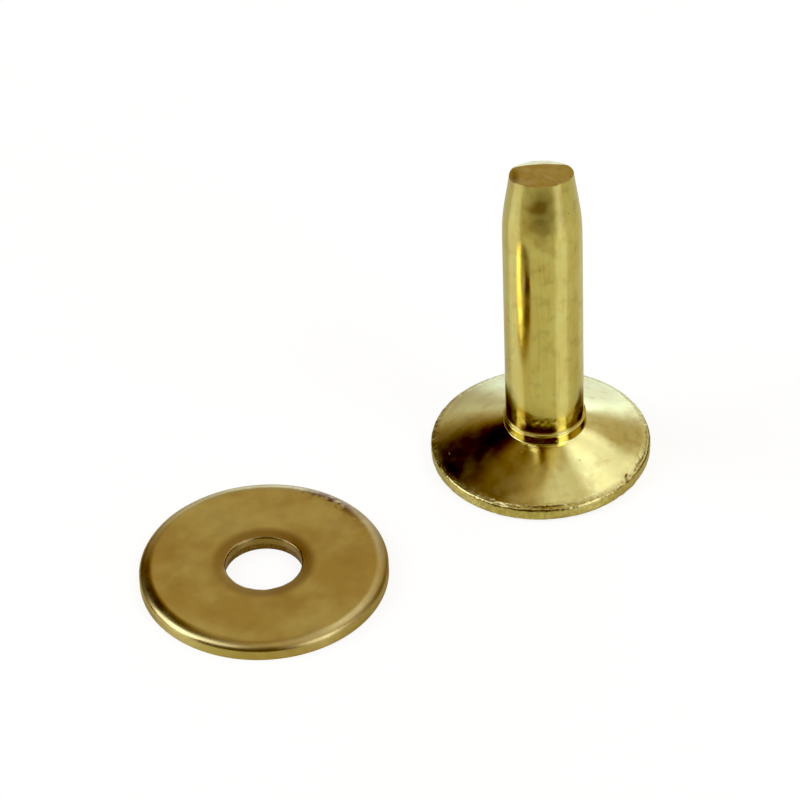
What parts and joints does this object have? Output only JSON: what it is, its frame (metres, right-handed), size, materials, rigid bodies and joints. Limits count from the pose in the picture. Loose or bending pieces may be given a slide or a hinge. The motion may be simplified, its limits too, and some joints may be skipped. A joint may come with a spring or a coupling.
{
  "type": "rivet and burr",
  "caption": "Flat-headed solid rivet with a conical underside and a tapered, slant-cut shank, and its loose washer-like burr lying beside it.",
  "frame": {"origin": "centre of the rivet head's flat outer face, on the surface that the rivet stands on", "axes": "+Z along the shank towards its tip; +X from the burr's centre towards the rivet; +Y completes the right-handed frame"},
  "size_m": [0.0269, 0.0118, 0.017],
  "materials": {
    "rivet_brass": "bright, as headed, with fine drawn lines and small nicks",
    "burr_brass": "satin, tumbled and lightly tarnished"
  },
  "bodies": {
    "rivet": {"rivet": "rivet_brass"},
    "burr": {"burr": "burr_brass"}
  },
  "joints": [
    {"name": "burr_lift", "type": "slide", "parent": "rivet", "child": "burr", "axis": [0.4203, 0, 0.9074], "range_m": [0, 0.03747]}
  ]
}
